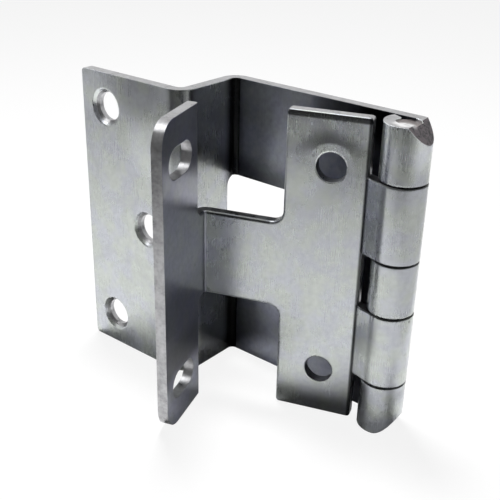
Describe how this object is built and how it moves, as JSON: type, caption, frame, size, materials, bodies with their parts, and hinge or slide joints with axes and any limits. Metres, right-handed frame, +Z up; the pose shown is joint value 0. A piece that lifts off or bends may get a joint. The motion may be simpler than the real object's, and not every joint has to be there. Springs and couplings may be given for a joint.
{
  "type": "five-knuckle hinge",
  "caption": "Folded-steel wrap-around cabinet hinge: a flanged frame leaf grips a stile, a stepped door leaf screws to a door, and both turn on a pin with angled barrel tips.",
  "frame": {"origin": "midway between the plate's two screw holes, on the frame leaf's seating face", "axes": "+X along the frame leaf's web towards the barrel, +Y from the stile's edge towards the door leaf, +Z up along the pin"},
  "size_m": [0.0827, 0.0415, 0.0698],
  "materials": {
    "leaf_steel": "satin",
    "pin_steel": "satin"
  },
  "bodies": {
    "frame": {"frame_leaf": "leaf_steel"},
    "door": {"door_leaf": "leaf_steel", "hinge_pin": "pin_steel"}
  },
  "joints": [
    {"name": "door_swing", "type": "hinge", "parent": "frame", "child": "door", "pos_m": [0.01445, 0.00115, 0], "axis": [0, 0, -1], "range_deg": [-19.4, 250.6]}
  ]
}
